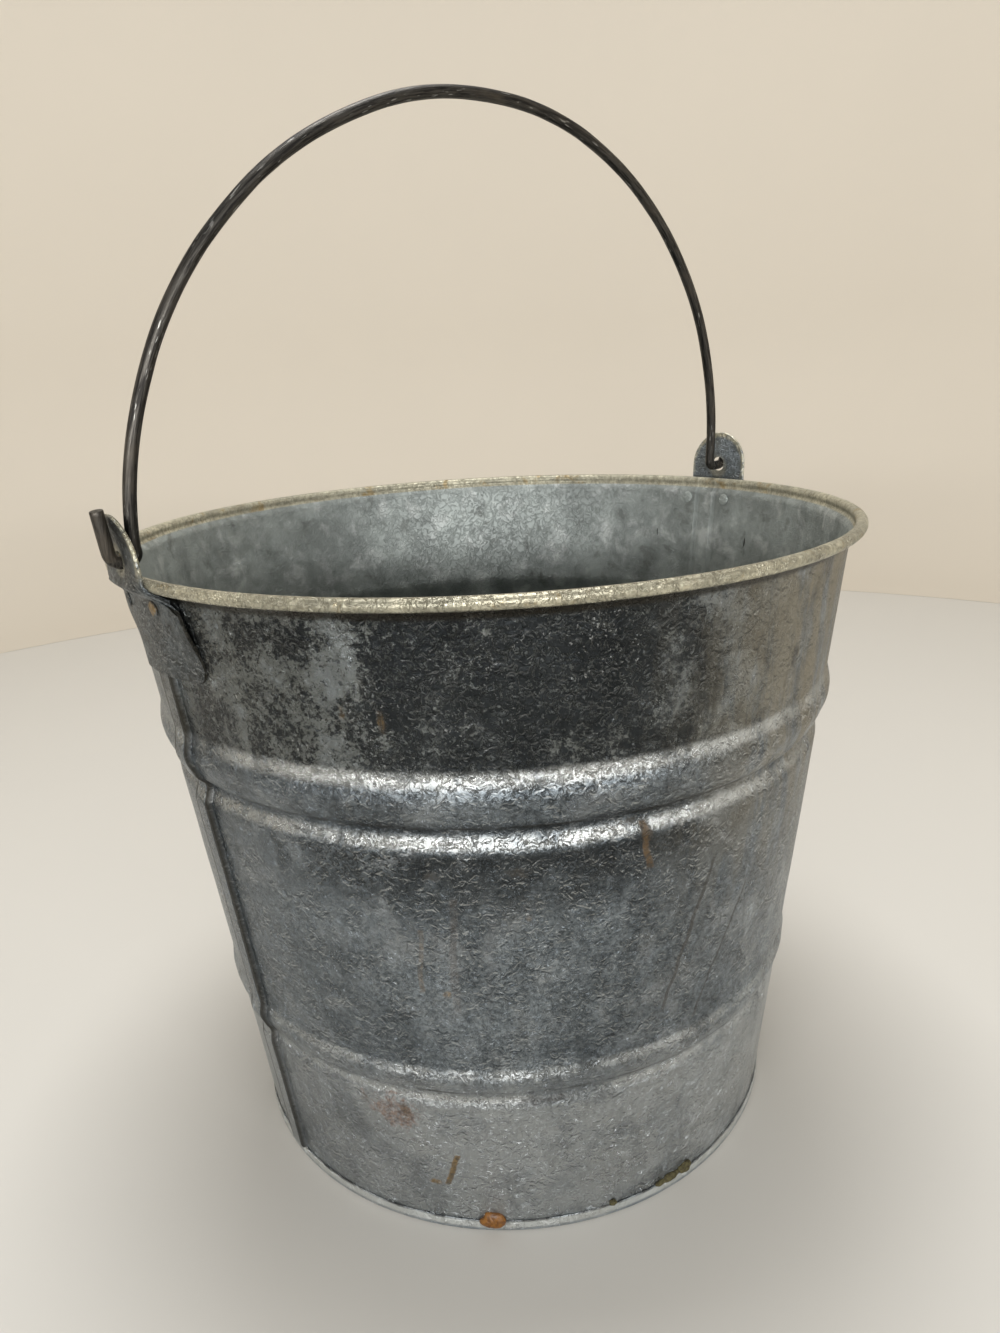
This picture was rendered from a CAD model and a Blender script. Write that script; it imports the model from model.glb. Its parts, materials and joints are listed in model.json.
"""Weathered galvanised bucket with a wire bail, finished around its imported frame."""
import json
import math

import bpy
import numpy as np
from mathutils import Matrix, Vector, noise


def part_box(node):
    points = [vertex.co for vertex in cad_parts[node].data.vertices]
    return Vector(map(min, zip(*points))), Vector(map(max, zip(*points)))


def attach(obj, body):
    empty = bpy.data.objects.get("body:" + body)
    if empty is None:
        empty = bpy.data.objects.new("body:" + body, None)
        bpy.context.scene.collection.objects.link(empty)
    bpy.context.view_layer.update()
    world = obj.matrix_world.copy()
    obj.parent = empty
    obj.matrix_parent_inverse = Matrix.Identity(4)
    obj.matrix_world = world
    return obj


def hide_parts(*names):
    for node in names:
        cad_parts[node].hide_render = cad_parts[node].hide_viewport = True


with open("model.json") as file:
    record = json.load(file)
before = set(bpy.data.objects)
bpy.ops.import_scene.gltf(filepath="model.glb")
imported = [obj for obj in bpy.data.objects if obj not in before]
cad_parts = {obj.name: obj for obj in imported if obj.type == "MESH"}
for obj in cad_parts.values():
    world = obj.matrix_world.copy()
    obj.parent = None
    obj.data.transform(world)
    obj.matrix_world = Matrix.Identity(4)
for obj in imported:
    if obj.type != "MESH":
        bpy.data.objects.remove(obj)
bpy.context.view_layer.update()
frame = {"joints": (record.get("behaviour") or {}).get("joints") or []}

bl_info = {
    "name": "Galvanised Bucket",
    "version": (1, 0, 0),
    "blender": (4, 5, 0),
    "location": "View3D > Sidebar > Bucket",
    "description": "Builds a worn galvanised bucket with its wire bail, and a plain studio around it",
    "category": "Add Mesh",
}

MM = 0.001

# ---- places taken from the frame --------------------------------------------------------------

wire_low, wire_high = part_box("rim_wire")
HINGE_Z = frame["joints"][0]["pos_m"][2]
HINGE_TILT = math.atan2(frame["joints"][0]["axis"][2], frame["joints"][0]["axis"][0])
RIM_Z = (wire_low.z + wire_high.z) / 2
WIRE_R = (wire_high.z - wire_low.z) / 2
ROLL_R = wire_high.x - WIRE_R

# ---- sizes that the pieces share, in metres ---------------------------------------------------

SHEET_T = 0.5 * MM
FOLD_GAP = 0.05 * MM
ROLL_GAP = 0.05 * MM
PITCH = SHEET_T + FOLD_GAP
WALL_SLOPE = 0.109
WALL_R_AT_RIM = 130.8 * MM
WALL_LOW_Z = 0.7 * MM
FLARE_Z = 224.5 * MM
SEAM_LOW_Z = 4.7 * MM
SEAM_HIGH_Z = 220.3 * MM
SEAM_HALF = math.radians(2.1)
SEAM_R = 118 * MM
ROLL_MID_R = WIRE_R + ROLL_GAP + SHEET_T / 2
EAR_T = 1.2 * MM
EAR_TOP_R = 14.5 * MM
EAR_STAND_OFF = 3 * PITCH + 0.2 * MM
EAR_AXIS_X = 40.8 * MM
ROLL_OUT_X = ROLL_R + WIRE_R + ROLL_GAP + SHEET_T
EAR_GAPS = {"left": 0.5 * MM, "right": 2.6 * MM}
EAR_JOG_LOW_Z = 225.2 * MM
EAR_UPRIGHT_Z = 232 * MM
EAR_LEAN = math.radians(3)
EAR_SHOULDER = 22.4 * MM
EAR_SHOULDER_Z = 226.1 * MM
EAR_FOOT_HALF = 26.4 * MM
EAR_DISH_R = 9.5 * MM
EAR_DISH_RISE = 2 * MM
EAR_LIP_R = 12.4 * MM
EAR_LIP_WIDTH = 1.1 * MM
HOLE_R = 3.2 * MM
HOLE_DROP = 0.4 * MM
RIVET_Z = 222.5 * MM
RIVET_OUT = 10.5 * MM
# A rivet's outline in millimetres: radius, and height over the ear or over the wall's inside.
RIVET_HEAD = ((0.4, 0.49), (1.0, 0.45), (1.6, 0.36), (2.1, 0.23), (2.42, 0.1), (2.5, 0.04), (2.4, 0),
              (1.6, -0.02))
RIVET_TAIL = ((1.6, 0), (2.3, 0), (2.5, -0.08), (2.4, -0.2), (1.8, -0.3), (0.8, -0.32))
BAIL_WIRE_R = 2 * MM
BAIL_ARCH_R = 131.6 * MM
BAIL_LIFT = 1.7 * MM
HOOK_IN_R = 2.5 * MM
HOOK_OUT_R = 3.7 * MM
HOOK_RUNS = {"left": 1.6 * MM, "right": 3.8 * MM}
HOOK_LEAN = math.radians(7)
HOOK_RISES = {"left": 16 * MM, "right": 12.5 * MM}
BAIL_LEAN = math.radians(5.75)
BAIL_SHIFT = -0.9 * MM

# Ribs and grooves of the wall, in millimetres: lower end, crest, upper end and height.
UPPER_RIB = (162.5, 171.5, 181, 2.0)
UPPER_GROOVE = (153.5, 160.9, 164.5, 2.3)
LOWER_RIB = (62.5, 68.5, 74.5, 1.3)
LOWER_GROOVE = (55.5, 61, 64, 0.9)
# Crests that handling has rubbed bright, in millimetres: height and reach to either side.
RUBBED_CRESTS = ((178.3, 3.6), (157.4, 3.0), (71.6, 2.6), (60.0, 2.4))

# Small bends that use has left in the bail: where on the arch in degrees, and how far out.
BAIL_NUDGES = [(8, 0.4), (17, -0.15), (30, 0.2), (38, -0.35), (46, -0.2), (78, 0.3), (92, 0.0),
               (100, 0.45), (104, 0.3), (114, -0.1), (122, 0.25), (147, 0.25), (164, -0.15), (171, 0.2)]

# ---- the worn side and the camera that faces it -------------------------------------------------

FRONT_DEG = -127.8
CAMERA_DISTANCE = 355.5 * MM
CAMERA_HEIGHT = 283 * MM
CAMERA_YAW = 0.0064
CAMERA_PITCH = 0.3055
CAMERA_ROLL = -0.0511
CAMERA_LENS = 25.18


def hump(z, low, crest, high, height):
    """A smooth hump in millimetres of z: 0 at low and high, height at crest."""
    z = np.asarray(z, float) / MM
    rising = np.clip((z - low) / (crest - low), 0, 1)
    falling = np.clip((high - z) / (high - crest), 0, 1)
    t = np.where(z < crest, rising, falling)
    return height * MM * (1 - np.cos(np.pi * t)) / 2


def wall_radius(z):
    """Outer radius of the wall at height z, with its ribs and grooves."""
    z = np.asarray(z, float)
    cone = WALL_R_AT_RIM - WALL_SLOPE * (RIM_Z - z)
    upper = hump(z, *UPPER_RIB) - hump(z, *UPPER_GROOVE)
    lower = hump(z, *LOWER_RIB) - hump(z, *LOWER_GROOVE)
    return cone + upper + lower


# ---- mesh helpers -----------------------------------------------------------------------------

def new_object(name, points, faces, sharp_deg=40):
    """A smooth-shaded mesh object whose corners sharper than sharp_deg stay crisp."""
    mesh = bpy.data.meshes.new(name)
    mesh.from_pydata([tuple(p) for p in points], [], [tuple(f) for f in faces])
    mesh.validate()
    mesh.update()
    mesh.polygons.foreach_set("use_smooth", [True] * len(mesh.polygons))
    mesh.set_sharp_from_angle(angle=math.radians(sharp_deg))
    obj = bpy.data.objects.new(name, mesh)
    bpy.context.scene.collection.objects.link(obj)
    return obj


def grid_normals(grid, wrap):
    """Unit normals of a grid of points, by its rows and columns."""
    down = np.gradient(grid, axis=0)
    if wrap:
        across = (np.roll(grid, -1, axis=1) - np.roll(grid, 1, axis=1)) / 2
    else:
        across = np.gradient(grid, axis=1)
    normal = np.cross(across, down)
    return normal / np.linalg.norm(normal, axis=2, keepdims=True)


def sheet_shell(grid, thickness, wrap=False, edge_round=0.35):
    """Points and faces of a closed sheet of metal whose middle surface is the grid.

    The first and last rows, and the first and last columns unless they wrap, get rounded edges.
    """
    rows, cols = grid.shape[:2]
    normal = grid_normals(grid, wrap)
    outer = grid + normal * thickness / 2
    inner = grid - normal * thickness / 2
    lead = grid[-1] - grid[-2]
    lead = lead / np.linalg.norm(lead, axis=1, keepdims=True)
    tail = grid[0] - grid[1]
    tail = tail / np.linalg.norm(tail, axis=1, keepdims=True)
    loop = np.concatenate([
        outer,
        (grid[-1] + lead * thickness * edge_round)[None],
        inner[::-1],
        (grid[0] + tail * thickness * edge_round)[None],
    ])
    length = loop.shape[0]
    index = np.arange(length * cols).reshape(length, cols)
    points = loop.reshape(-1, 3)
    right = np.roll(index, -1, axis=1)
    below = np.roll(index, -1, axis=0)
    corner = np.roll(below, -1, axis=1)
    last = cols if wrap else cols - 1
    quads = np.stack([index, right, corner, below], axis=2)[:, :last].reshape(-1, 4)
    faces = quads.tolist()
    if not wrap:
        for col, flip in ((0, False), (cols - 1, True)):
            cap = end_cap(index[:, col], rows)
            faces += [face[::-1] if flip else face for face in cap]
    return points, faces


def end_cap(ring, rows):
    """Faces that close one end of a sheet's outline, whose points are in ring."""
    faces = [[ring[rows - 1], ring[rows], ring[rows + 1]]]
    for i in range(rows - 1):
        faces.append([ring[i], ring[i + 1], ring[2 * rows - 1 - i], ring[2 * rows - i]])
    faces.append([ring[0], ring[2 * rows], ring[2 * rows + 1]])
    return faces


def merge_parts(parts):
    """Joins lists of (points, faces) into one."""
    points, faces, offset = [], [], 0
    for part_points, part_faces in parts:
        points.extend(np.asarray(part_points).tolist())
        faces.extend([[i + offset for i in face] for face in part_faces])
        offset += len(part_points)
    return points, faces


def lathe(profile, columns):
    """A grid of points turned about the axis. The profile lists (radius, height)."""
    angles = np.linspace(0, 2 * np.pi, columns, endpoint=False)
    profile = np.asarray(profile)
    points = np.stack([
        profile[:, 0][:, None] * np.cos(angles),
        profile[:, 0][:, None] * np.sin(angles),
        np.repeat(profile[:, 1][:, None], columns, axis=1)], axis=2)
    return points


def tube_faces(rows, sides):
    """Faces of a tube of rings, closed at its ends by the two points that follow the rings' points."""
    index = np.arange(rows * sides).reshape(rows, sides)
    right = np.roll(index, -1, axis=1)
    faces = np.stack([index[:-1], index[1:], right[1:], right[:-1]], axis=2).reshape(-1, 4).tolist()
    for i in range(sides):
        faces.append([rows * sides, index[0, i], right[0, i]])
        faces.append([rows * sides + 1, right[-1, i], index[-1, i]])
    return faces


def noise_field(points, size, seed):
    """Smooth noise from -1 to 1 at each point, with lumps of about the given size in metres."""
    shift = Vector((seed * 7.3, seed * 3.1, seed * 5.7))
    flat = np.asarray(points).reshape(-1, 3)
    values = [noise.noise(Vector(p) / size + shift) for p in flat]
    return np.array(values).reshape(np.asarray(points).shape[:-1])


# ---- the two half sheets of the wall ------------------------------------------------------------

def wall_heights():
    """Heights of the wall's rows, closer together over the ribs."""
    steps = []
    z = WALL_LOW_Z / MM
    while z < FLARE_Z / MM - 0.4:
        steps.append(z)
        near_rib = 50 < z < 78 or 149 < z < 185
        z += 0.9 if near_rib else 2.6
    steps.append(FLARE_Z / MM)
    return np.array(steps) * MM


def rim_path():
    """Middle line of the sheet from the wall's flare round the rolled rim, as (radius, height)."""
    start = np.array([wall_radius(FLARE_Z) - SHEET_T / 2, FLARE_Z])
    enter = math.radians(200)
    leave = math.radians(-128)
    join = np.array([ROLL_R + ROLL_MID_R * math.cos(enter), RIM_Z + ROLL_MID_R * math.sin(enter)])
    rise = np.array([WALL_SLOPE, 1.0])
    into_roll = np.array([math.sin(enter), -math.cos(enter)])
    handles = [start, start + rise * 1.7 * MM, join - into_roll * 1.5 * MM, join]
    path = []
    for t in np.linspace(0, 1, 9)[1:]:
        weights = [(1 - t) ** 3, 3 * t * (1 - t) ** 2, 3 * t * t * (1 - t), t ** 3]
        path.append(sum(w * p for w, p in zip(weights, handles)))
    for a in np.linspace(enter, leave, 27)[1:]:
        path.append(np.array([ROLL_R + ROLL_MID_R * math.cos(a), RIM_Z + ROLL_MID_R * math.sin(a)]))
    return np.array(path)


def wall_wobble(angle, height, shape):
    """How far hand and weather have pushed the wall in or out, in metres."""
    ring = np.stack([np.cos(angle) * 0.12, np.sin(angle) * 0.12, height], axis=-1)
    sway = noise_field(ring, 0.075, 1) * shape.waviness
    ripple = noise_field(ring * [1, 1, 1.6], 0.022, 2) * shape.waviness * 0.35
    crumple = noise_field(ring * [1, 1, 0.8], 0.006, 3) * shape.rib_crumple
    on_ribs = hump(height, 146, 168, 186, 1 / MM) + hump(height, 52, 68, 78, 1 / MM)
    fade = np.clip((height - 8 * MM) / (20 * MM), 0, 1) * np.clip((RIM_Z - height) / (12 * MM), 0, 1)
    return (sway + ripple + crumple * np.clip(on_ribs, 0, 1)) * fade


def ring_point(radius, angle, height):
    """Points from a radius, an angle about the axis and a height."""
    return np.stack([radius * np.cos(angle), radius * np.sin(angle), height], axis=-1)


def main_sheet(start, columns, shape):
    """The half turn of plain wall, with its flare and its half of the rolled rim."""
    begin = start + SEAM_HALF + math.radians(0.03)
    angle = np.linspace(begin, begin + math.pi - math.radians(0.03), columns)
    z = wall_heights()
    wall = np.stack([wall_radius(z) - SHEET_T / 2, z], axis=1)
    path = np.concatenate([wall, rim_path()])
    radius, turn = np.meshgrid(path[:, 0], angle, indexing="ij")
    height = np.repeat(path[:, 1][:, None], columns, axis=1)
    radius = radius + wall_wobble(turn, height, shape)
    in_roll = np.clip((height - FLARE_Z) / (3 * MM), 0, 1)
    lumps = noise_field(ring_point(0.13, turn, height), 0.011, 4) * shape.rim_lumps
    return sheet_shell(ring_point(radius - 0.06 * MM * in_roll + lumps * in_roll, turn, height), SHEET_T)


def seam_hook(path, shape):
    """One hooked edge of the lock seam. The path lists (angle, distance from the wall's face)."""
    path = np.array(path)
    z = wall_heights()
    z = np.concatenate([[SEAM_LOW_Z], z[(z > SEAM_LOW_Z) & (z < SEAM_HIGH_Z)], [SEAM_HIGH_Z]])
    height, turn = np.meshgrid(z, path[:, 0], indexing="ij")
    away = np.repeat(path[:, 1][None], len(z), axis=0)
    radius = wall_radius(height) + away + wall_wobble(turn, height, shape)
    return sheet_shell(ring_point(radius, turn, height), SHEET_T)


def half_turn(angle, middle, towards, steps=7):
    """Points of a fold: half a circle in (angle, distance), about the middle distance."""
    reach = PITCH / SEAM_R
    points = []
    for a in np.linspace(-math.pi / 2, math.pi / 2, steps):
        points.append((angle + towards * math.cos(a) * reach, middle + math.sin(a) * PITCH))
    return points


def layer(number):
    """Middle of one of the seam's layers, as a distance from the wall's outer face."""
    return number * PITCH - SHEET_T / 2


def outer_hook(start, shape):
    """The edge that steps up over the seam and folds back under itself."""
    turn = math.radians
    step_up = [
        (start + SEAM_HALF + turn(0.55), layer(0) - 0.1 * MM),
        (start + SEAM_HALF + turn(0.42), layer(0) + 0.3 * MM),
        (start + SEAM_HALF + turn(0.27), layer(3) - 0.4 * MM),
        (start + SEAM_HALF + turn(0.12), layer(3) - 0.05 * MM),
        (start + SEAM_HALF - turn(0.1), layer(3))]
    across = [(start + SEAM_HALF * k, layer(3)) for k in (0.4, 0.0, -0.4)]
    fold = half_turn(start - SEAM_HALF + turn(0.25), layer(2), -1)[::-1]
    under = [(start + SEAM_HALF * k, layer(1)) for k in (-0.4, 0.2, 0.75)]
    return seam_hook(step_up + across + fold + under, shape)


def inner_hook(start, shape):
    """The edge that folds back inside the seam at the sheet's other end."""
    fold = half_turn(start + SEAM_HALF - math.radians(0.3), layer(1), 1)
    fold[0] = (fold[0][0], layer(0) + 0.08 * MM)
    back = [(start + SEAM_HALF * k, layer(2)) for k in (0.3, -0.3, -0.75)]
    return seam_hook(fold + back, shape)


def build_wall(name, node, start, shape):
    """Half of the wall as one sheet with its rim and both hooked edges."""
    parts = [
        main_sheet(start, shape.wall_columns, shape),
        outer_hook(start, shape),
        inner_hook(start + math.pi, shape)]
    obj = new_object(name, *merge_parts(parts))
    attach(obj, "pail")
    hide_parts(node)
    return obj


# ---- bottom, ears, rivets and bail --------------------------------------------------------------

def arc(r, z, radius, start, end, steps):
    """Points of an arc about (r, z), from one angle in degrees to another."""
    angles = np.radians(np.linspace(start, end, steps + 1))
    return [(r + radius * math.cos(a), z + radius * math.sin(a)) for a in angles]


def pan_profile():
    """Outline of the pressed bottom as a loop of (radius, height), without its point on the axis."""
    floor_z, bend, channel_z, foot_h = 8 * MM, 2.5 * MM, 0.55 * MM, 4.2 * MM
    rounding, bulge = 0.45 * MM, 0.35 * MM
    flange_out = float(wall_radius(floor_z)) - SHEET_T - FOLD_GAP
    flange_out_low = float(wall_radius(channel_z)) - SHEET_T - FOLD_GAP
    flange_in = flange_out - SHEET_T
    foot_in = flange_out_low - SHEET_T
    lip_in_low = float(wall_radius(channel_z)) + FOLD_GAP
    lip_in_high = float(wall_radius(foot_h)) + FOLD_GAP
    foot_out = lip_in_low + SHEET_T + bulge
    rings = np.linspace(4 * MM, flange_in - bend - 2 * MM, 24)
    return (
        [(r, floor_z) for r in rings]
        + arc(flange_in - bend, floor_z - bend, bend, 90, 0, 6)
        + arc(foot_in + rounding, rounding, rounding, 180, 270, 4)
        + arc(foot_out - rounding, rounding, rounding, 270, 360, 5)
        + [(foot_out + 0.06 * MM, foot_h * 0.35), (foot_out + 0.05 * MM, foot_h * 0.6)]
        + arc(lip_in_high + SHEET_T / 2, foot_h - SHEET_T / 2, SHEET_T / 2, 0, 180, 6)
        + [(lip_in_low, channel_z), (flange_out_low, channel_z)]
        + arc(flange_out - bend - SHEET_T, floor_z - bend, bend + SHEET_T, 0, 90, 6)
        + [(r, floor_z + SHEET_T) for r in rings[::-1]])


def turned_pan(columns, shape):
    """The pressed bottom, a little uneven, with the marks of the tool that closed its foot."""
    ring = lathe(pan_profile(), columns)
    rows = ring.shape[0]
    angle = np.linspace(0, 2 * np.pi, columns, endpoint=False)[None]
    radius = np.hypot(ring[..., 0], ring[..., 1])
    on_floor = np.clip((100 * MM - radius) / (20 * MM), 0, 1)
    sag = noise_field(np.stack([ring[..., 0], ring[..., 1], 0 * radius], axis=2), 0.06, 5)
    ring[..., 2] += sag * on_floor * shape.floor_sag
    outer = np.clip((radius - wall_radius(0.004)) / (0.5 * MM), 0, 1)
    lifted = np.clip((ring[..., 2] - 0.9 * MM) / (1.5 * MM), 0, 1)
    dents = noise_field(ring_point(0.117, angle + 0 * radius, 0 * radius), 0.006, 6) - 0.35
    push = np.minimum(dents, 0.25) * shape.foot_dents * outer * lifted
    ring[..., 0] += push * np.cos(angle)
    ring[..., 1] += push * np.sin(angle)
    points = np.concatenate([ring.reshape(-1, 3), [
        [0, 0, ring[0, :, 2].mean()], [0, 0, ring[-1, :, 2].mean()]]])
    return points, tube_faces(rows, columns)


def dirt_lump(turn, height, half_width, half_height, depth, seed):
    """A closed lump stuck to the foot, lying over the worn side's turn and height."""
    steps, rings = 36, 9
    angle = math.radians(FRONT_DEG + turn)
    radial = np.array([math.cos(angle), math.sin(angle), 0])
    along = np.array([-math.sin(angle), math.cos(angle), 0])
    centre = radial * (float(wall_radius(height)) + 0.5 * MM) + np.array([0, 0, height])
    points = []
    for i in range(1, rings):
        polar = math.pi * i / rings
        for a in np.linspace(0, 2 * math.pi, steps, endpoint=False):
            edge = 1 + 0.35 * noise.noise(Vector((math.cos(a) * 1.3, math.sin(a) * 1.3, seed)))
            lift = 1 + 0.3 * noise.noise(Vector((math.cos(a) * 2, math.sin(a) * 2, seed + polar * 2)))
            points.append(
                centre
                + along * half_width * math.sin(polar) * math.cos(a) * edge
                + np.array([0, 0, 1]) * half_height * math.sin(polar) * math.sin(a) * edge
                + radial * depth * math.cos(polar) * lift)
    points.append(centre + radial * depth)
    points.append(centre - radial * depth)
    points = np.array(points)
    points[:, 2] = np.maximum(points[:, 2], 0.05 * MM)
    count = (rings - 1) * steps
    faces = []
    for i in range(rings - 2):
        for j in range(steps):
            k = (j + 1) % steps
            faces.append([i * steps + j, (i + 1) * steps + j, (i + 1) * steps + k, i * steps + k])
    for j in range(steps):
        k = (j + 1) % steps
        faces.append([count, j, k])
        faces.append([count + 1, count - steps + k, count - steps + j])
    return points, faces


def ear_reach(angle, hinge_z, foot_z, shape):
    """Distance from the ear's hinge to its outline, in each direction of its front view."""
    corner_r, shoulder_r = 5 * MM, 2.5 * MM
    half_w = EAR_FOOT_HALF
    neck = [(EAR_TOP_R, z * MM) for z in (-0.1, -2, -4)]
    neck += [(EAR_TOP_R, EAR_SHOULDER_Z + shape.ear_fillet - hinge_z)]
    neck += [(EAR_TOP_R + shape.ear_fillet * (1 - math.cos(a)),
              EAR_SHOULDER_Z + shape.ear_fillet * (1 - math.sin(a)) - hinge_z)
             for a in np.radians((30, 60, 90))]
    shoulder = [(EAR_SHOULDER - shoulder_r + shoulder_r * math.cos(a),
                 EAR_SHOULDER_Z - shoulder_r + shoulder_r * math.sin(a) - hinge_z)
                for a in np.radians((90, 70, 50, 30, 17))]
    corner = [(half_w - corner_r + corner_r * math.cos(a),
               foot_z + corner_r - corner_r * math.sin(a) - hinge_z)
              for a in np.radians((-17, 0, 15, 30, 45, 60, 75, 90))]
    bottom = [(y, foot_z - hinge_z) for y in np.linspace(half_w - corner_r, 0, 9)[1:]]
    outline = np.array(neck + shoulder + corner + bottom)
    fine = [outline[0]]
    for p, q in zip(outline[:-1], outline[1:]):
        fine += [p + (q - p) * t for t in np.linspace(0, 1, 9)[1:]]
    outline = np.array(fine)
    turn = np.arctan2(outline[:, 1], outline[:, 0])
    reach = np.hypot(outline[:, 0], outline[:, 1])
    fold = np.arctan2(np.sin(angle), np.abs(np.cos(angle)))
    order = np.argsort(turn)
    below = np.interp(fold, turn[order], reach[order])
    return np.where(fold > -0.01, EAR_TOP_R, below)


def smooth_step(value, low, high):
    """0 below low, 1 above high, and a smooth ramp between them."""
    t = np.clip((value - low) / (high - low), 0, 1)
    return t * t * (3 - 2 * t)


def ear_depth(y, z, hinge_z, gap, shape):
    """Distance of the ear's inner face from the pail's axis plane, over its front view."""
    low = wall_radius(np.minimum(z, EAR_JOG_LOW_Z)) + EAR_STAND_OFF
    jog_high_z = 228.3 * MM + 0.65 * gap
    jog = np.clip((z - EAR_JOG_LOW_Z + 0.25 * MM) / (jog_high_z - EAR_JOG_LOW_Z), 0, 1)
    reach = low + (ROLL_OUT_X + gap - low) * (0.75 * jog + 0.25 * jog * jog * (3 - 2 * jog))
    reach = reach + np.maximum(z - EAR_UPRIGHT_Z, 0) * math.tan(EAR_LEAN)
    bend_r = reach - EAR_AXIS_X
    depth = EAR_AXIS_X + np.sqrt(np.maximum(bend_r ** 2 - y ** 2, 0))
    dish = np.clip(1 - (np.hypot(y, z - hinge_z - EAR_DISH_RISE) / EAR_DISH_R) ** 2, 0, 1)
    from_lip = np.hypot(y, z - hinge_z) - EAR_LIP_R
    rolled = np.exp(-(from_lip / EAR_LIP_WIDTH) ** 2) * smooth_step(z, 228 * MM, 234 * MM)
    return depth - shape.ear_dish * dish ** 1.1 + shape.ear_lip * rolled


def ear_plate(side, hinge_z, foot_z, gap, shape):
    """An ear as one bent plate with a hole, on the +X side or, for side -1, on the -X side."""
    spokes, rings = 288, 64
    angle = np.linspace(0, 2 * np.pi, spokes, endpoint=False)
    share = np.linspace(0, 1, rings)[:, None] ** 1.1
    edge = ear_reach(angle, hinge_z, foot_z, shape) - EAR_T * 0.25
    hole = HOLE_R + 0.2 * MM
    reach = hole + share * (edge - hole)
    y = reach * np.cos(angle)
    z = hinge_z + HOLE_DROP * (1 - share) + reach * np.sin(angle)
    wobble = noise_field(np.stack([0 * y + side, y, z], axis=2), 0.012, 7) * shape.ear_waviness
    by_wall = smooth_step(z, 224 * MM, 233 * MM) * 0.8 + 0.2
    x = ear_depth(y, z, hinge_z, gap, shape) + EAR_T / 2
    x = x + wobble * smooth_step(reach, 4 * MM, 9 * MM) * by_wall
    corner = smooth_step(np.abs(y), 7 * MM, 20 * MM) * (1 - smooth_step(z, 206 * MM, 218 * MM))
    x = x - shape.ear_tuck * corner
    grid = np.stack([side * x, side * y, z], axis=2)
    return sheet_shell(grid, EAR_T, wrap=True, edge_round=0.25)


def rivet_solid(side, out, shape):
    """A hammered rivet through the ear and the wall, with a flattened tail inside the pail."""
    head_z = EAR_STAND_OFF + EAR_T + 0.02 * MM
    tail_z = -SHEET_T - 0.1 * MM
    profile = [(r * MM, base + z * MM) for base, part in ((head_z, RIVET_HEAD), (tail_z, RIVET_TAIL))
               for r, z in part]
    columns = 40
    ring = lathe(profile, columns)
    radial = np.hypot(ring[..., 0], ring[..., 1])
    lumps = noise_field(ring + [0, out, side], 0.0016, 8) * shape.rivet_hammering
    proud = (np.abs(ring[..., 2] - head_z / 2) > head_z / 2) & (radial > 0)
    ring[..., 2] += lumps * proud
    ring[..., :2] *= (1 + 0.6 * lumps / radial * proud)[..., None]
    rows = len(profile)
    points = np.concatenate([ring.reshape(-1, 3), [
        [0, 0, head_z + 0.5 * MM], [0, 0, tail_z - 0.33 * MM]]])
    lean = math.atan(WALL_SLOPE)
    turn = math.asin(out / float(wall_radius(RIVET_Z))) + (0 if side > 0 else math.pi)
    radial = np.array([math.cos(turn), math.sin(turn), 0])
    across = np.array([-math.sin(turn), math.cos(turn), 0])
    rise = np.array([0, 0, 1])
    base = float(wall_radius(RIVET_Z)) * radial + RIVET_Z * rise
    outwards = math.cos(lean) * radial - math.sin(lean) * rise
    upwards = math.sin(lean) * radial + math.cos(lean) * rise
    placed = base + points[:, 2:3] * outwards + points[:, 0:1] * upwards + points[:, 1:2] * across
    return placed, tube_faces(rows, columns)


def hook_path(run, rise):
    """Middle line of a hook in the bail's plane, from its free end to the arch's foot."""
    start = math.asin((HOOK_IN_R - BAIL_LIFT) / BAIL_ARCH_R)
    in_x = BAIL_ARCH_R * math.cos(start) + HOOK_IN_R
    out_x = in_x + run
    bend = np.array([out_x + HOOK_OUT_R * math.cos(HOOK_LEAN), HOOK_OUT_R * (1 - math.sin(HOOK_LEAN))])
    tip = bend + np.array([math.tan(HOOK_LEAN), 1]) * (rise - bend[1] - 0.2 * MM)
    path = [tip + (bend - tip) * t for t in np.linspace(0, 1, 12)[:-1]]
    path += [(out_x + HOOK_OUT_R * math.cos(a), HOOK_OUT_R + HOOK_OUT_R * math.sin(a))
             for a in np.linspace(-HOOK_LEAN, -math.pi / 2, 15)]
    path += [(in_x + run * t, 0.0) for t in (0.75, 0.5, 0.25)]
    path += [(in_x + HOOK_IN_R * math.cos(a), HOOK_IN_R + HOOK_IN_R * math.sin(a))
             for a in np.linspace(-math.pi / 2, -math.pi, 14)]
    return np.array(path), start


def bail_path():
    """Middle line of the bail's wire in its own plane, from the right hook's end to the left one's."""
    right, start = hook_path(HOOK_RUNS["right"], HOOK_RISES["right"])
    left = (hook_path(HOOK_RUNS["left"], HOOK_RISES["left"])[0] * [-1, 1])[::-1]
    angles = np.linspace(start, math.pi - start, 240)[1:-1]
    settle = np.sin((angles - start) / (math.pi - 2 * start) * math.pi) ** 0.3
    push = smooth_curve(np.degrees(angles), *zip(*BAIL_NUDGES)) * MM
    top = [((BAIL_ARCH_R + p * s) * math.cos(a) + BAIL_SHIFT * s,
            (BAIL_ARCH_R + p * s) * math.sin(a) + BAIL_LIFT)
           for a, p, s in zip(angles, push, settle)]
    return np.concatenate([right, top, left])


def smooth_curve(at, knots, values):
    """A smooth curve through the values at the knots, by a sum of bumps."""
    knots, values = np.array(knots), np.array(values)
    weight = np.exp(-((np.asarray(at)[:, None] - knots[None]) / 7.0) ** 2)
    return (weight * values).sum(axis=1) / np.maximum(weight.sum(axis=1), 0.35)


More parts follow.
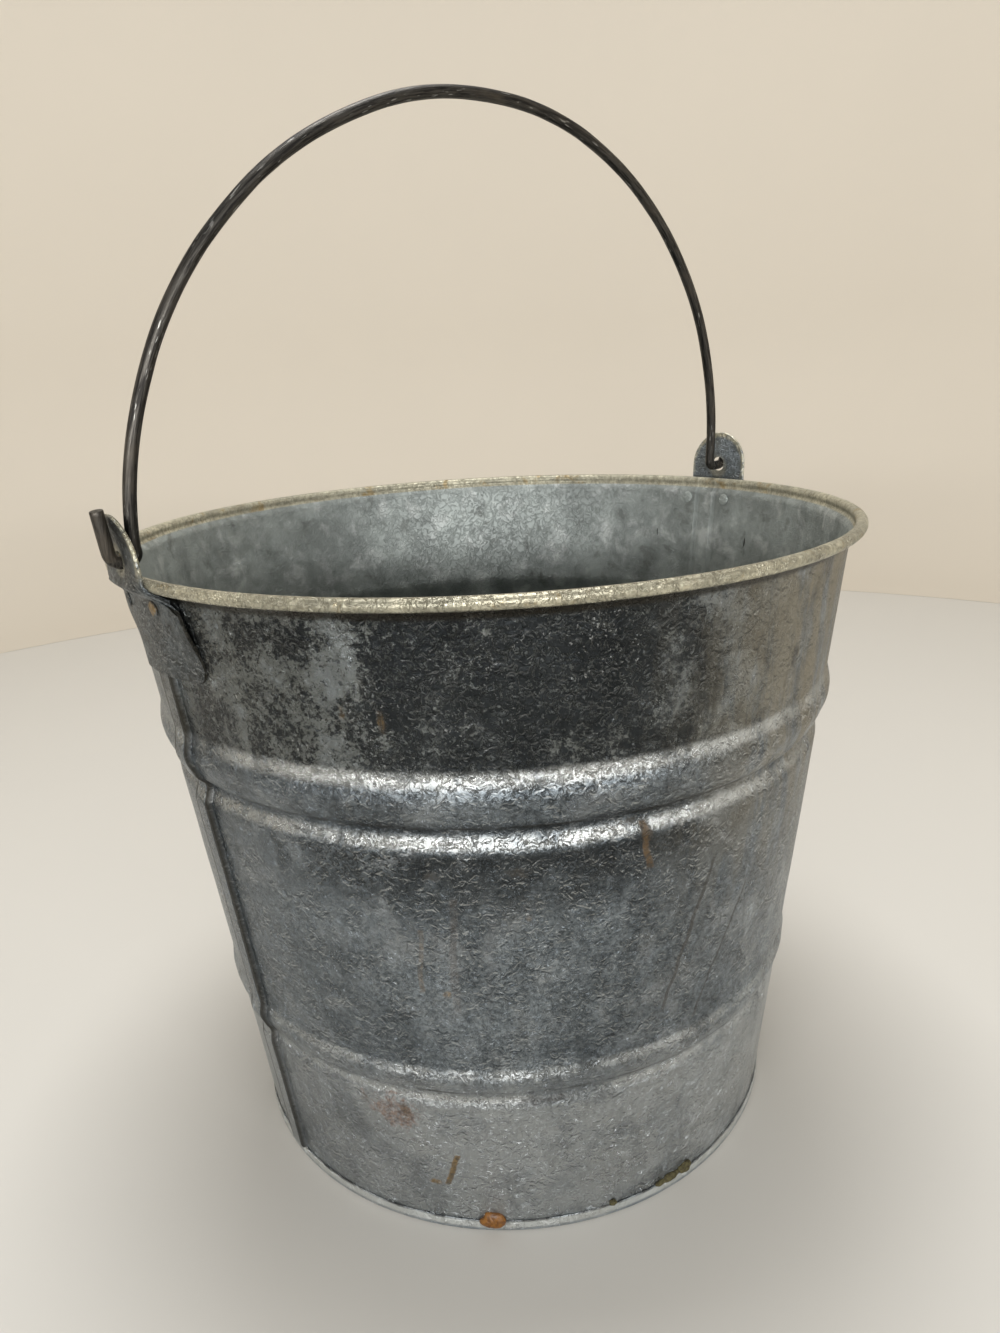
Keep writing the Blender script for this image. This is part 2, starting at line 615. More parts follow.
def bail_wire(shape):
    """The bent wire as a tube with sheared ends."""
    path = bail_path()
    step = np.gradient(path, axis=0)
    tangent = step / np.linalg.norm(step, axis=1, keepdims=True)
    normal = np.stack([tangent[:, 1], -tangent[:, 0]], axis=1)
    sides = 24
    around = np.linspace(0, 2 * math.pi, sides, endpoint=False)
    flat = np.stack([path[:, 0], 0 * path[:, 0], path[:, 1]], axis=1)
    out = np.stack([normal[:, 0], 0 * normal[:, 0], normal[:, 1]], axis=1)
    across = np.array([0.0, 1.0, 0.0])
    swell = 1 + shape.wire_lumps * noise_field(flat, 0.008, 9)
    ring = (flat[:, None] + BAIL_WIRE_R * swell[:, None, None] * (
        np.cos(around)[None, :, None] * out[:, None] + np.sin(around)[None, :, None] * across))
    rings = [end_ring(ring[0], flat[0], 0.55), end_ring(ring[0], flat[0], 0.93), *ring,
             end_ring(ring[-1], flat[-1], 0.93), end_ring(ring[-1], flat[-1], 0.55)]
    rings = np.array(rings)
    rings[0] += [0, 0, 0.28 * MM]
    rings[1] += [0, 0, 0.2 * MM]
    rings[-1] += [0, 0, 0.28 * MM]
    rings[-2] += [0, 0, 0.2 * MM]
    rows = len(rings)
    points = rings.reshape(-1, 3)
    ends = np.array([rings[0].mean(axis=0), rings[-1].mean(axis=0)])
    stand = Matrix.Rotation(-HINGE_TILT, 3, "Y") @ Matrix.Rotation(BAIL_LEAN, 3, "X")
    points = np.concatenate([points, ends]) @ np.array(stand).T + [0, 0, HINGE_Z]
    return points, tube_faces(rows, sides)


def end_ring(ring, centre, scale):
    """A ring of the wire's end drawn in towards its middle."""
    return centre + (ring - centre) * scale


# ---- node helpers -------------------------------------------------------------------------------

class Tree:
    """Places nodes in a node tree and links them."""

    def __init__(self, tree):
        self.tree = tree

    def feed(self, socket, value):
        """Links a socket to an output, or sets its value."""
        if isinstance(value, bpy.types.NodeSocket):
            self.tree.links.new(value, socket)
        elif socket.type == "RGBA" and len(value) == 3:
            socket.default_value = (*value, 1.0)
        else:
            socket.default_value = value

    def node(self, kind, inputs=(), **settings):
        """A node with its settings and inputs."""
        node = self.tree.nodes.new(kind)
        for key, value in settings.items():
            setattr(node, key, value)
        for key, value in dict(inputs).items():
            self.feed(node.inputs[key], value)
        return node

    def math(self, operation, *values):
        """The result of a Math node."""
        return self.node("ShaderNodeMath", enumerate(values), operation=operation).outputs[0]

    def plus(self, a, b):
        """The sum of two values."""
        return self.math("ADD", a, b)

    def minus(self, a, b):
        """The first value less the second."""
        return self.math("SUBTRACT", a, b)

    def rest(self, value):
        """What the value leaves of 1."""
        return self.math("SUBTRACT", 1.0, value)

    def gap(self, a, b):
        """How far apart two values are."""
        return self.math("ABSOLUTE", self.minus(a, b))

    def hypot(self, a, b):
        """The length of the two values taken as sides of a right angle."""
        return self.math("SQRT", self.plus(self.product(a, a), self.product(b, b)))

    def window(self, value, start, full, end, fading):
        """A mask that grows from start to full, stays whole up to fading and is gone at end."""
        return self.product(self.ramp(value, start, full), self.ramp(value, end, fading))

    def product(self, *values):
        """All the values multiplied."""
        result = values[0]
        for value in values[1:]:
            result = self.math("MULTIPLY", result, value)
        return result

    def highest(self, *values):
        """The highest of the values."""
        result = values[0]
        for value in values[1:]:
            result = self.math("MAXIMUM", result, value)
        return result

    def ramp(self, value, low, high, to_low=0.0, to_high=1.0):
        """The value eased from one range to another."""
        node = self.node("ShaderNodeMapRange", {
            "Value": value, "From Min": low, "From Max": high, "To Min": to_low, "To Max": to_high,
        }, interpolation_type="SMOOTHSTEP")
        return node.outputs[0]

    def blend(self, factor, a, b, mode="MIX"):
        """Two colours mixed by the factor."""
        node = self.node("ShaderNodeMix", {0: factor, 6: a, 7: b}, data_type="RGBA", blend_type=mode)
        return node.outputs[2]

    def lay(self, colour, tint, *masks, mode="MIX"):
        """A tint laid over a colour where all the masks are."""
        return self.blend(self.product(*masks), colour, tint, mode)

    def noise(self, vector, size, detail=3.0, roughness=0.5, distortion=0.0):
        """Smooth noise from 0 to 1 whose lumps are about the given size in metres."""
        return self.node("ShaderNodeTexNoise", {
            "Vector": vector, "Scale": 1 / size, "Detail": detail, "Roughness": roughness,
            "Distortion": distortion}).outputs["Fac"]

    def stretch(self, vector, factors, offset=(0.0, 0.0, 0.0)):
        """The vector scaled and shifted."""
        return self.node("ShaderNodeMapping", {
            "Vector": vector, "Scale": factors, "Location": offset}).outputs[0]


def new_group(name, inputs, outputs):
    """A shader node group with named sockets, and its tree. Inputs are (name, kind, default)."""
    tree = bpy.data.node_groups.new(name, "ShaderNodeTree")
    for socket, kind, default in inputs:
        item = tree.interface.new_socket(socket, in_out="INPUT", socket_type=kind)
        if default is not None:
            item.default_value = default
    for socket, kind in outputs:
        tree.interface.new_socket(socket, in_out="OUTPUT", socket_type=kind)
    graph = Tree(tree)
    source = tree.nodes.new("NodeGroupInput")
    sink = tree.nodes.new("NodeGroupOutput")
    return graph, source.outputs, sink.inputs


# Millimetres of wall to a degree of turn, near the heights where most spots and drips are.
SPOT_MM_PER_DEG = 2.15
DRIP_MM_PER_DEG = 2.1
WIRE_M_PER_RADIAN = 0.131
FLOAT = "NodeSocketFloat"
COLOUR = "NodeSocketColor"
VECTOR = "NodeSocketVector"


def use_group(graph, name, inputs=()):
    """A group placed in a material with its own values. Returns its outputs."""
    node = graph.tree.nodes.new("ShaderNodeGroup")
    node.node_tree = bpy.data.node_groups[name]
    for key, value in dict(inputs).items():
        graph.feed(node.inputs[key], value)
    return node.outputs


def make_place_group():
    """Where a point lies on the pail, measured from the side that has weathered most."""
    graph, _, sink = new_group("Pail Place", [], [
        ("Turn", FLOAT), ("Height", FLOAT), ("Outside", FLOAT), ("Facing", FLOAT), ("Seam", FLOAT),
        ("Position", VECTOR)])
    position = graph.node("ShaderNodeTexCoord").outputs["Object"]
    split = graph.node("ShaderNodeSeparateXYZ", {0: position}).outputs
    turned = graph.node("ShaderNodeVectorRotate", {
        "Vector": position, "Angle": math.radians(-FRONT_DEG)}, rotation_type="Z_AXIS").outputs[0]
    face = graph.node("ShaderNodeSeparateXYZ", {0: turned}).outputs
    angle = graph.math("DEGREES", graph.math("ARCTAN2", face["Y"], face["X"]))
    normal = graph.node("ShaderNodeNewGeometry").outputs["Normal"]
    radial = graph.node("ShaderNodeVectorMath", {
        0: graph.stretch(position, (1, 1, 0))}, operation="NORMALIZE").outputs[0]
    facing = graph.node("ShaderNodeVectorMath", {0: normal, 1: radial}, operation="DOT_PRODUCT")
    graph.feed(sink["Turn"], angle)
    graph.feed(sink["Height"], graph.math("DIVIDE", split["Z"], MM))
    graph.feed(sink["Outside"], graph.ramp(facing.outputs["Value"], -0.2, 0.2))
    graph.feed(sink["Facing"], facing.outputs["Value"])
    beside = graph.math("DEGREES", graph.math("ARCTAN2", graph.math("ABSOLUTE", split["Y"]),
                                              graph.math("ABSOLUTE", split["X"])))
    from_fold = graph.gap(beside, math.degrees(SEAM_HALF))
    graph.feed(sink["Seam"], graph.ramp(from_fold, 0.8, 0.3))
    graph.feed(sink["Position"], position)


def make_zinc_group():
    """The skin of hot-dipped zinc: broad tone, smudges, fine specks and a crinkled relief."""
    graph, source, sink = new_group("Zinc Skin", [
        ("Position", VECTOR, None), ("Crinkle", FLOAT, 1.0), ("Fleck Share", FLOAT, 0.5)], [
        ("Tone", FLOAT), ("Patches", FLOAT), ("Speckle", FLOAT), ("Flecks", FLOAT), ("Worms", FLOAT),
        ("Glint", FLOAT), ("Shade", FLOAT), ("Relief", FLOAT)])
    position = source["Position"]
    broad = graph.noise(position, 0.05, 4, 0.55)
    cloud = graph.noise(position, 0.012, 8, 0.66, 0.2)
    tone = graph.plus(graph.product(broad, 0.4), graph.product(cloud, 0.6))
    patch = graph.noise(graph.stretch(position, (1, 1, 0.85), (3.1, 1.7, 0.4)), 0.019, 9, 0.68, 0.35)
    speckle = graph.noise(graph.stretch(position, (1, 1, 1), (0.7, 2.2, 1.1)), 0.0017, 7, 0.78, 0.3)
    crisp = graph.noise(graph.stretch(position, (1, 1, 0.8), (5.2, 0.3, 2.6)), 0.0008, 2, 0.5, 0.6)
    ridge_field = graph.noise(position, 0.0028, 3, 0.62, 1.0)
    ridge = graph.gap(ridge_field, 0.5)
    worms = graph.ramp(ridge, 0.05, 0.0)
    lumps = graph.noise(position, 0.006, 4, 0.6, 0.5)
    above = graph.noise(graph.stretch(position, (1, 1, 1), (0, 0, 0.0004)), 0.0028, 3, 0.62, 1.0)
    slope = graph.minus(above, ridge_field)
    crease_field = graph.noise(graph.stretch(position, (1, 1, 1), (1.4, 4.1, 0.9)), 0.009, 4, 0.65)
    creased = graph.ramp(crease_field, 0.38, 0.6)
    fleck_zone = graph.ramp(graph.noise(position, 0.016, 4, 0.7), 0.5, 0.64)
    relief = graph.plus(graph.product(worms, 0.38), graph.product(lumps, 1.0))
    relief = graph.plus(relief, graph.product(speckle, 0.3))
    graph.feed(sink["Tone"], graph.ramp(tone, 0.36, 0.64))
    graph.feed(sink["Patches"], patch)
    graph.feed(sink["Speckle"], speckle)
    flecks = graph.product(graph.ramp(crisp, 0.62, 0.7), fleck_zone, source["Fleck Share"])
    graph.feed(sink["Flecks"], flecks)
    graph.feed(sink["Worms"], worms)
    graph.feed(sink["Glint"], graph.product(graph.ramp(slope, 0.03, 0.11), creased))
    graph.feed(sink["Shade"], graph.product(graph.ramp(slope, -0.03, -0.11), creased))
    graph.feed(sink["Relief"], graph.product(relief, source["Crinkle"]))


def make_spot_group():
    """One ragged spot at a turn and height of the pail."""
    graph, source, sink = new_group("Ragged Spot", [
        ("Position", VECTOR, None), ("Turn", FLOAT, 0.0), ("Height", FLOAT, 0.0),
        ("At Turn", FLOAT, 0.0), ("At Height", FLOAT, 0.0), ("Half Width", FLOAT, 5.0),
        ("Half Height", FLOAT, 5.0), ("Raggedness", FLOAT, 0.5)], [("Mask", FLOAT)])
    arc_mm = graph.product(graph.minus(source["Turn"], source["At Turn"]), SPOT_MM_PER_DEG)
    across = graph.math("DIVIDE", arc_mm, source["Half Width"])
    up = graph.math("DIVIDE", graph.minus(source["Height"], source["At Height"]), source["Half Height"])
    away = graph.hypot(across, up)
    rag = graph.minus(graph.noise(source["Position"], 0.004, 5, 0.7, 0.6), 0.5)
    away = graph.plus(away, graph.product(rag, source["Raggedness"], 3.0))
    thin = graph.ramp(graph.noise(source["Position"], 0.0016, 4, 0.7), 0.36, 0.56)
    graph.feed(sink["Mask"],
               graph.product(graph.ramp(away, 1.05, 0.4), graph.plus(0.45, graph.product(thin, 0.55))))


def make_drip_group():
    """One dried trickle that runs down the pail from a turn and height to another."""
    graph, source, sink = new_group("Dried Trickle", [
        ("Position", VECTOR, None), ("Turn", FLOAT, 0.0), ("Height", FLOAT, 0.0),
        ("Top Turn", FLOAT, 0.0), ("Top Height", FLOAT, 0.0), ("End Turn", FLOAT, 0.0),
        ("End Height", FLOAT, 0.0), ("Half Width", FLOAT, 0.6), ("Gaps", FLOAT, 0.36)], [("Mask", FLOAT)])
    fall = graph.math("DIVIDE", graph.minus(source["Top Height"], source["Height"]),
                      graph.minus(source["Top Height"], source["End Height"]))
    middle = graph.plus(source["Top Turn"],
                        graph.product(fall, graph.minus(source["End Turn"], source["Top Turn"])))
    sway = graph.minus(graph.noise(source["Position"], 0.009, 2, 0.5), 0.5)
    middle = graph.plus(middle, graph.product(sway, 1.6))
    arc_mm = graph.product(graph.gap(source["Turn"], middle), DRIP_MM_PER_DEG)
    inside = graph.ramp(graph.math("DIVIDE", arc_mm, source["Half Width"]), 1.3, 0.6)
    ends = graph.window(fall, -0.02, 0.03, 1.03, 0.95)
    broken = graph.noise(graph.stretch(source["Position"], (1, 1, 0.6)), 0.0025, 3, 0.6)
    kept = graph.ramp(broken, graph.minus(source["Gaps"], 0.12), graph.plus(source["Gaps"], 0.05))
    graph.feed(sink["Mask"], graph.product(inside, ends, kept))


def make_streak_group():
    """Streaks that run down the pail, such as water leaves."""
    graph, source, sink = new_group("Water Streaks", [
        ("Position", VECTOR, None), ("Width", FLOAT, 0.003)], [("Mask", FLOAT)])
    scaled = graph.node("ShaderNodeVectorMath", {
        0: graph.stretch(source["Position"], (1, 1, 0.055)),
        "Scale": graph.math("DIVIDE", 1.0, source["Width"])}, operation="SCALE").outputs[0]
    lines = graph.noise(scaled, 1.0, 3, 0.6)
    broken = graph.noise(graph.stretch(source["Position"], (1, 1, 0.35)), 0.02, 3, 0.6)
    graph.feed(sink["Mask"], graph.product(graph.ramp(lines, 0.48, 0.68), graph.ramp(broken, 0.35, 0.62)))


def make_rust_group():
    """Rust in bloom: a mask that creeps out of an amount, and the colour of its crust."""
    graph, source, sink = new_group("Rust Bloom", [
        ("Position", VECTOR, None), ("Amount", FLOAT, 0.3), ("Fresh", COLOUR, (0.35, 0.12, 0.03, 1)),
        ("Old", COLOUR, (0.06, 0.03, 0.018, 1))], [("Mask", FLOAT), ("Colour", COLOUR)])
    grain = graph.noise(source["Position"], 0.0022, 6, 0.72, 0.5)
    cloud = graph.noise(source["Position"], 0.009, 4, 0.6, 0.8)
    level = graph.plus(graph.product(grain, 0.5), graph.product(cloud, 0.5))
    limit = graph.minus(0.78, graph.product(source["Amount"], 0.5))
    above = graph.minus(level, limit)
    graph.feed(sink["Mask"], graph.ramp(above, 0.0, 0.06))
    shade = graph.ramp(graph.noise(source["Position"], 0.0016, 4, 0.7), 0.38, 0.64)
    graph.feed(sink["Colour"], graph.blend(shade, source["Old"], source["Fresh"]))


def rust_bloom(graph, position, amount, finish):
    """The rust group with the bucket's own two rust colours."""
    return use_group(graph, "Rust Bloom", {
        "Position": position, "Amount": amount, "Fresh": finish.rust_fresh, "Old": finish.rust_old})


def new_material(name):
    """A node material, its graph and its Principled shader."""
    material = bpy.data.materials.new(name)
    material.use_nodes = True
    shader = material.node_tree.nodes["Principled BSDF"]
    return material, Tree(material.node_tree), shader


def bump(graph, shader, height, distance, strength=1.0):
    """Gives the shader's normal a relief of the given depth in metres."""
    node = graph.node("ShaderNodeBump", {"Height": height, "Distance": distance, "Strength": strength})
    graph.feed(shader.inputs["Normal"], node.outputs[0])


# ---- materials ----------------------------------------------------------------------------------

DRIPS = [
    # top turn and height, end turn and height, half width, colour, strength
    (19.0, 158.8, 20.6, 142.5, 1.2, "brown", 0.9),
    (32.1, 139.0, 24.2, 85.0, 0.8, "dark", 0.8),
    (40.4, 123.0, 30.8, 76.0, 0.6, "dark", 0.75),
    (-11.0, 34.9, -13.6, 20.0, 1.2, "ochre", 0.95),
    (-7.5, 140.0, -8.5, 96.0, 1.3, "brown", 0.3),
    (-2.5, 132.0, -3.5, 92.0, 1.1, "dark", 0.3),
    (-12.5, 128.0, -13.5, 104.0, 0.8, "ochre", 0.4),
]

SPOTS = [
    # turn, height, half width, half height, raggedness, colour, strength
    (17.6, 159.4, 2.6, 1.2, 0.3, "dark", 0.9),
    (19.6, 154.5, 2.2, 3.4, 0.5, "brown", 0.8),
    (-21.9, 51.0, 11.5, 8.5, 1.1, "pink", 0.85),
    (-19.5, 52.5, 2.2, 4.0, 0.8, "brown", 0.6),
    (-27.5, 53.0, 3.0, 2.0, 1.0, "brown", 0.4),
    (-30.0, 130.0, 2.4, 1.2, 0.9, "dark", 0.6),
    (-10.0, 147.0, 3.4, 1.8, 0.9, "dark", 0.8),
    (2.0, 148.0, 4.0, 2.2, 1.0, "dark", 0.8),
    (-14.0, 196.0, 1.4, 4.2, 0.6, "ochre", 0.45),
    (-19.0, 198.0, 1.2, 3.0, 0.6, "ochre", 0.4),
    (-15.6, 20.6, 3.4, 1.8, 0.2, "ochre", 1.0),
    (-28.0, 67.0, 1.3, 1.2, 0.4, "dark", 0.9),
    (-23.8, 63.0, 1.2, 0.9, 0.4, "dark", 0.9),
    (4.0, 59.0, 12.0, 2.4, 0.9, "dark", 0.75),
    (45.1, 198.0, 2.4, 4.4, 0.5, "dark", 0.85),
    (-9.6, 104.0, 1.6, 1.6, 0.5, "ochre", 0.7),
    (3.0, 132.0, 1.4, 1.6, 0.5, "ochre", 0.5),
]


# group, its sockets in the order of the values, and the marks themselves
MARKS = (
    ("Dried Trickle", ("Top Turn", "Top Height", "End Turn", "End Height", "Half Width"), DRIPS),
    ("Ragged Spot", ("At Turn", "At Height", "Half Width", "Half Height", "Raggedness"), SPOTS),
)


def paint_marks(graph, colour, place, finish):
    """The drips and spots of the worn side, laid over a colour. Also gives their joint mask."""
    tints = {"brown": finish.drip_brown, "dark": finish.grime, "ochre": finish.drip_ochre}
    where = {"Position": place["Position"], "Turn": place["Turn"], "Height": place["Height"]}
    grain = graph.ramp(graph.noise(place["Position"], 0.0018, 5, 0.75, 0.4), 0.4, 0.6)
    shades = {tint: graph.lay(value, finish.grime, grain, 0.75) for tint, value in tints.items()}
    shades["pink"] = graph.blend(grain, finish.rust_pink, finish.rust_old)
    joint = 0.0
    for group, sockets, marks in MARKS:
        for *values, tint, strength in marks:
            mask = use_group(graph, group, {**where, **dict(zip(sockets, values))})["Mask"]
            mask = graph.product(mask, place["Outside"], strength)
            colour = graph.blend(mask, colour, shades[tint])
            joint = graph.highest(joint, mask)
    return colour, joint


def make_wall_material(finish):
    """Galvanised sheet: dark and glossy above the upper rib, grey and mottled below and inside."""
    material, graph, shader = new_material("weathered_wall")
    place = use_group(graph, "Pail Place")
    position, turn, height = place["Position"], place["Turn"], place["Height"]
    outside = place["Outside"]
    inside = graph.rest(outside)
    zinc = use_group(graph, "Zinc Skin", {"Position": position, "Crinkle": 1.0, "Fleck Share": 0.5})
    streaks = use_group(graph, "Water Streaks", {"Position": position, "Width": 0.0035})["Mask"]
    smudge = graph.ramp(zinc["Patches"], 0.5, 0.64)

    # the plain zinc, paler towards the foot
    colour = graph.blend(zinc["Tone"], finish.zinc_dark, finish.zinc)
    mottle = graph.ramp(zinc["Speckle"], 0.4, 0.62)
    colour = graph.lay(colour, finish.zinc_dark, mottle, 0.6, mode="MULTIPLY")
    low = graph.product(graph.ramp(height, 78.0, 56.0), outside)
    patchy = graph.ramp(zinc["Patches"], 0.36, 0.56, 0.5, 1.0)
    colour = graph.lay(colour, finish.zinc_pale, low, patchy, 0.8)
    colour = graph.lay(colour, finish.zinc_pale, smudge, 0.3)
    shaded_side = graph.product(graph.window(turn, -12.0, -42.0, -120.0, -80.0), outside)
    colour = graph.lay(colour, finish.zinc_dark, shaded_side, 0.45)

    # the dark, glossy band above the upper rib, under a broken film of grey oxide
    face = graph.ramp(graph.gap(turn, 5.0), 36.0, 8.0)
    film_field = graph.plus(graph.product(zinc["Patches"], 0.5), graph.product(zinc["Speckle"], 0.5))
    film_field = graph.minus(film_field, graph.product(face, 0.082))
    film = graph.ramp(film_field, 0.462, 0.5)
    crackle = graph.product(zinc["Worms"], graph.ramp(zinc["Speckle"], 0.42, 0.5))
    film = graph.highest(film, graph.product(crackle, 0.55))
    ragged = graph.product(graph.minus(zinc["Patches"], 0.5), 60.0)
    level = graph.plus(height, ragged)
    band = graph.product(graph.ramp(height, 177.5, 182.0), outside)
    under_rib = graph.product(graph.ramp(level, 122.0, 150.0), graph.ramp(height, 156.5, 152.5), outside)
    in_groove = graph.product(graph.window(height, 158.5, 161.0, 166.5, 163.5), outside)
    band_colour = graph.blend(film, finish.zinc_black, finish.band_film)
    cloudy = graph.product(graph.ramp(zinc["Patches"], 0.52, 0.66), graph.rest(face))
    band_colour = graph.lay(band_colour, finish.zinc, cloudy, 0.55)
    side_grey = graph.ramp(graph.plus(graph.math("ABSOLUTE", graph.plus(turn, 8.0)),
                                      graph.product(graph.minus(zinc["Patches"], 0.5), 70.0)), 24.0, 66.0)
    colour = graph.lay(colour, band_colour, band, finish.band_darkness,
                       graph.rest(graph.product(side_grey, 0.55)))
    spotted = graph.product(graph.rest(film), graph.ramp(graph.math("ABSOLUTE", turn), 60.0, 20.0))
    colour = graph.lay(colour, finish.zinc_black, graph.highest(under_rib, graph.product(in_groove, 0.7)),
                       spotted, 0.8)
    dark = graph.product(graph.highest(band, graph.product(under_rib, 0.6)), spotted)

    # white specks
    colour = graph.lay(colour, finish.zinc_white, zinc["Flecks"], 0.8)

    # warm stains that water has left on the right of the worn side, and faint grey runs all round
    warm_side = graph.window(turn, 14.0, 50.0, 130.0, 95.0)
    warm_side = graph.product(warm_side, graph.ramp(height, 80.0, 185.0), outside)
    runs = graph.noise(graph.stretch(position, (1, 1, 0.18)), 0.011, 6, 0.68, 0.3)
    warm = graph.product(warm_side, graph.ramp(runs, 0.36, 0.56))
    colour = graph.lay(colour, finish.water_stain, warm, 0.85)
    colour = graph.lay(colour, finish.grime, streaks, outside, 0.22, mode="MULTIPLY")

    # creases in the skin, bright above and dark beneath
    crest = graph.highest(*(graph.window(height, at - reach, at - 0.5, at + reach, at + 0.5)
                            for at, reach in RUBBED_CRESTS))
    rubbed = graph.product(crest, outside, graph.ramp(zinc["Patches"], 0.34, 0.54), graph.ramp(
        graph.math("ABSOLUTE", turn), 75.0, 25.0), graph.ramp(height, 90.0, 130.0, 0.5, 1.0))
    colour = graph.lay(colour, finish.zinc_white, rubbed, 0.7)
    creases = graph.rest(graph.product(band, 0.7))
    colour = graph.lay(colour, finish.zinc_black, zinc["Shade"], outside, 0.55)
    colour = graph.lay(colour, finish.zinc_white, zinc["Glint"], outside, creases, 0.4)

    # inside, the zinc is dull and neutral with pale smudges
    lining = graph.blend(zinc["Tone"], finish.lining_dark, finish.lining)
    blotch = graph.noise(graph.stretch(position, (1, 1, 1), (2.2, 0.4, 3.3)), 0.013, 6, 0.6, 0.3)
    lining = graph.lay(lining, finish.zinc_white, graph.ramp(blotch, 0.5, 0.72), 0.4)
    lining = graph.lay(lining, finish.grime, graph.ramp(blotch, 0.42, 0.32), 0.35)
    colour = graph.blend(inside, colour, lining)

    # the rolled rim: cream oxide worn to bright metal, stained in places, with grime under it
    rim = graph.ramp(height, 226.9, 227.5)
    stain = graph.ramp(graph.noise(position, 0.014, 5, 0.7, 0.4), 0.56, 0.66)
    worn = graph.ramp(zinc["Speckle"], 0.42, 0.6)
    rim_colour = graph.blend(zinc["Tone"], finish.rim_grey, finish.rim_cream)
    rim_colour = graph.lay(rim_colour, finish.rim_dark, worn, 0.65)
    rim_colour = graph.lay(rim_colour, finish.rim_stain, stain, 0.75)
    colour = graph.blend(rim, colour, rim_colour)
    under = graph.product(graph.window(height, 223.9, 225.6, 228.2, 227.2), outside)
    colour = graph.lay(colour, finish.grime, under, 0.85)

    # dirt in the grooves and specks of rust
    groove = graph.highest(graph.ramp(graph.gap(height, 162.4), 1.2, 0.2),
                           graph.ramp(graph.gap(height, 63.2), 0.9, 0.2))
    broken = graph.ramp(graph.noise(position, 0.02, 4, 0.7), 0.36, 0.6)
    colour = graph.lay(colour, finish.grime, groove, broken, outside, 0.8)
    colour = graph.lay(colour, finish.grime, place["Seam"], outside, 0.85)
    rust = rust_bloom(graph, graph.stretch(position, (1, 1, 0.7)), finish.rust_amount, finish)
    colour = graph.lay(colour, rust["Colour"], rust["Mask"], 0.7)
    colour, marks = paint_marks(graph, colour, place, finish)

    graph.feed(shader.inputs["Base Color"], colour)
    metal = graph.minus(0.95,
                        graph.highest(graph.product(marks, 0.8), graph.product(rust["Mask"], 0.7),
                                      graph.product(zinc["Flecks"], 0.5), graph.product(rim, 0.35),
                                      graph.product(warm, 0.4), graph.product(inside, 0.45)))
    graph.feed(shader.inputs["Metallic"], metal)
    rough = graph.ramp(zinc["Tone"], 0.0, 1.0, 0.27, 0.35)
    rough = graph.minus(rough, graph.product(dark, 0.09))
    rough = graph.plus(rough, graph.product(inside, 0.2))
    rough = graph.plus(rough, graph.product(graph.highest(zinc["Flecks"], marks, warm), 0.14))
    rough = graph.minus(rough, graph.product(rim, 0.06))
    on_ribs = graph.highest(graph.window(height, 150.0, 155.0, 184.0, 181.0),
                            graph.window(height, 54.0, 57.0, 77.0, 74.0))
    rough = graph.minus(rough, graph.product(rubbed, 0.07))
    rough = graph.plus(rough, graph.product(place["Seam"], 0.3))
    graph.feed(shader.inputs["Roughness"], rough)
    deep = graph.product(graph.plus(0.8, graph.product(on_ribs, 0.3)),
                         graph.rest(graph.product(inside, 0.45)),
                         graph.rest(graph.product(place["Seam"], 0.85)))
    bump(graph, shader, graph.product(zinc["Relief"], deep), finish.relief)
    return material


def make_foot_material(finish):
    """The bottom: brighter zinc, with dirt where the foot meets the wall and water marks inside."""
    material, graph, shader = new_material("weathered_bottom")
    place = use_group(graph, "Pail Place")
    position, height = place["Position"], place["Height"]
    zinc = use_group(graph, "Zinc Skin", {"Position": position, "Crinkle": 1.0, "Fleck Share": 0.6})
    colour = graph.blend(zinc["Tone"], finish.zinc, finish.zinc_pale)
    colour = graph.lay(colour, finish.zinc_white, graph.window(height, 4.4, 3.2, 0.8, 1.8), 0.8)
    floor = graph.ramp(height, 6.0, 7.5)
    pool = graph.ramp(graph.noise(position, 0.045, 4, 0.6, 1.2), 0.42, 0.6)
    colour = graph.lay(colour, finish.water_stain, pool, floor, 0.55)
    rust = rust_bloom(graph, position, finish.rust_amount + 0.12, finish)
    colour = graph.lay(colour, rust["Colour"], rust["Mask"], 0.8)
    crevice = graph.window(height, 3.2, 4.1, 5.4, 4.4)
    broken = graph.ramp(graph.noise(position, 0.013, 4, 0.7), 0.4, 0.6)
    colour = graph.lay(colour, finish.grime, crevice, broken, 0.8)
    colour = graph.lay(colour, finish.zinc_white, zinc["Flecks"], 0.6)
    graph.feed(shader.inputs["Base Color"], colour)
    graph.feed(shader.inputs["Metallic"], graph.minus(0.92, graph.product(rust["Mask"], 0.7)))
    graph.feed(shader.inputs["Roughness"], graph.ramp(zinc["Tone"], 0.0, 1.0, 0.5, 0.34))
    bump(graph, shader, zinc["Relief"], finish.relief)
    return material


